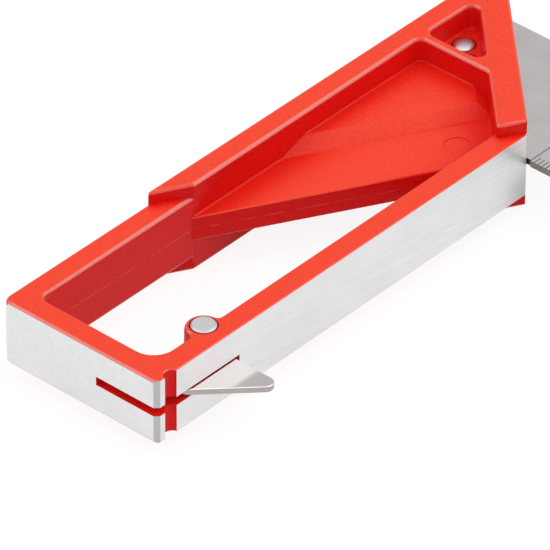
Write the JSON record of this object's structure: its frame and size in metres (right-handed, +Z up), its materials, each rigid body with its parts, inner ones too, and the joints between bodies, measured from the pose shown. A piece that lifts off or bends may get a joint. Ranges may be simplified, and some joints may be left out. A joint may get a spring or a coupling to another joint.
{
  "type": "try and mitre square",
  "caption": "Cast open-frame handle with a mitred head that clamps a thin steel blade at a right angle, and a small ledge that swings out of a slot near its plain end.",
  "frame": {"origin": "middle of the working face, at half its length from the plain end to the inner corner and half the thickness", "axes": "+X out of the working face, along the blade; +Y along the handle from its plain end to the blade; +Z up, square to the flat sides"},
  "size_m": [0.2406, 0.1456, 0.0212],
  "materials": {
    "red_enamel": "satin red enamel on a die casting, with bare milled working, end and mitre faces",
    "blade_steel": "satin rolled stainless steel with etched graduations",
    "ledge_steel": "tumbled bright stainless steel",
    "pin_steel": "turned steel",
    "rivet_steel": "plain steel"
  },
  "bodies": {
    "square": {"handle": "red_enamel", "blade": "blade_steel", "ledge_pin": "pin_steel", "blade_rivet_1": "rivet_steel", "blade_rivet_2": "rivet_steel"},
    "ledge": {"ledge": "ledge_steel"}
  },
  "joints": [
    {"name": "ledge_swing", "type": "hinge", "parent": "square", "child": "ledge", "pos_m": [-0.00564, -0.03516, 0], "axis": [0, 0, 1], "range_deg": [-90, 0]}
  ]
}
